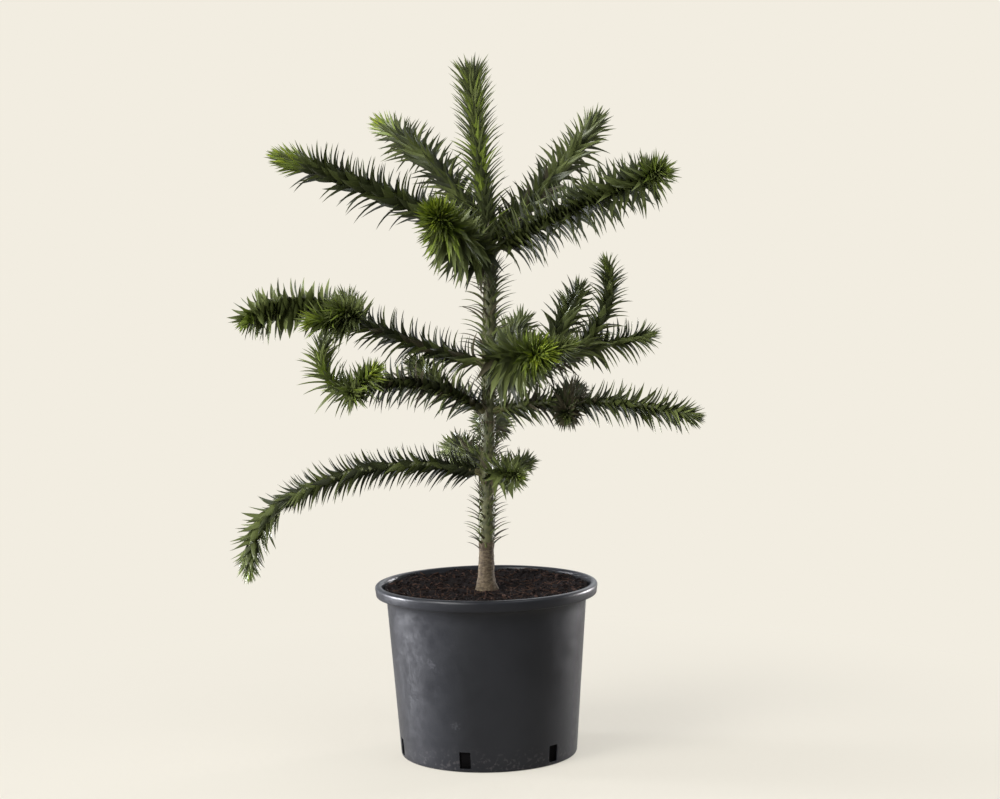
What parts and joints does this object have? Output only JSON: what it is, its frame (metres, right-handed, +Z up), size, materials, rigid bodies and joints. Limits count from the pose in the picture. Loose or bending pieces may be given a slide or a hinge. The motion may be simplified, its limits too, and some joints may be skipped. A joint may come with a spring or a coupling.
{
  "type": "potted monkey puzzle tree",
  "caption": "Young evergreen conifer in a round nursery pot: straight stem, whorls of stiff branches clad in pointed leaves.",
  "frame": {"origin": "centre of the pot's flat underside", "axes": "+Z up along the trunk, +X to the right as seen from the front, +Y to the back"},
  "size_m": [0.5004, 0.3616, 0.7148],
  "materials": {
    "pot_plastic": "moulded, satin",
    "potting_soil": "rough, fibrous",
    "bark": "matte, ringed",
    "leaves": "waxy satin",
    "young_leaves": "waxy satin"
  },
  "bodies": {
    "root": {"bough_low_back": "bark", "bough_low_front": "bark", "bough_low_left": "bark", "bough_low_right": "bark", "bough_middle_back": "bark", "bough_middle_left": "bark", "bough_middle_right": "bark", "bough_top_back_left": "bark", "bough_top_back_right": "bark", "bough_top_front": "bark", "bough_top_left": "bark", "bough_top_right": "bark", "bough_upper_back": "bark", "bough_upper_front": "bark", "bough_upper_left": "bark", "bough_upper_right": "bark", "branch_low_back": "leaves", "branch_low_front": "leaves", "branch_low_left": "leaves", "branch_low_left_tip": "leaves", "branch_low_right": "leaves", "branch_middle_back": "leaves", "branch_middle_left": "leaves", "branch_middle_left_tip": "leaves", "branch_middle_right": "leaves", "branch_top_back_left": "leaves", "branch_top_back_right": "leaves", "branch_top_front": "leaves", "branch_top_left": "leaves", "branch_top_right": "leaves", "branch_upper_back": "leaves", "branch_upper_front": "leaves", "branch_upper_left": "leaves", "branch_upper_left_tip": "leaves", "branch_upper_right": "leaves", "branch_upper_right_rear": "leaves", "branch_upper_right_riser": "leaves", "branch_upper_right_tip": "leaves", "foliage_foot": "leaves", "foliage_leader": "young_leaves", "foliage_lower_stem": "leaves", "foliage_middle_stem": "leaves", "foliage_upper_stem": "leaves", "pot": "pot_plastic", "soil": "potting_soil", "trunk": "bark"}
  },
  "joints": []
}
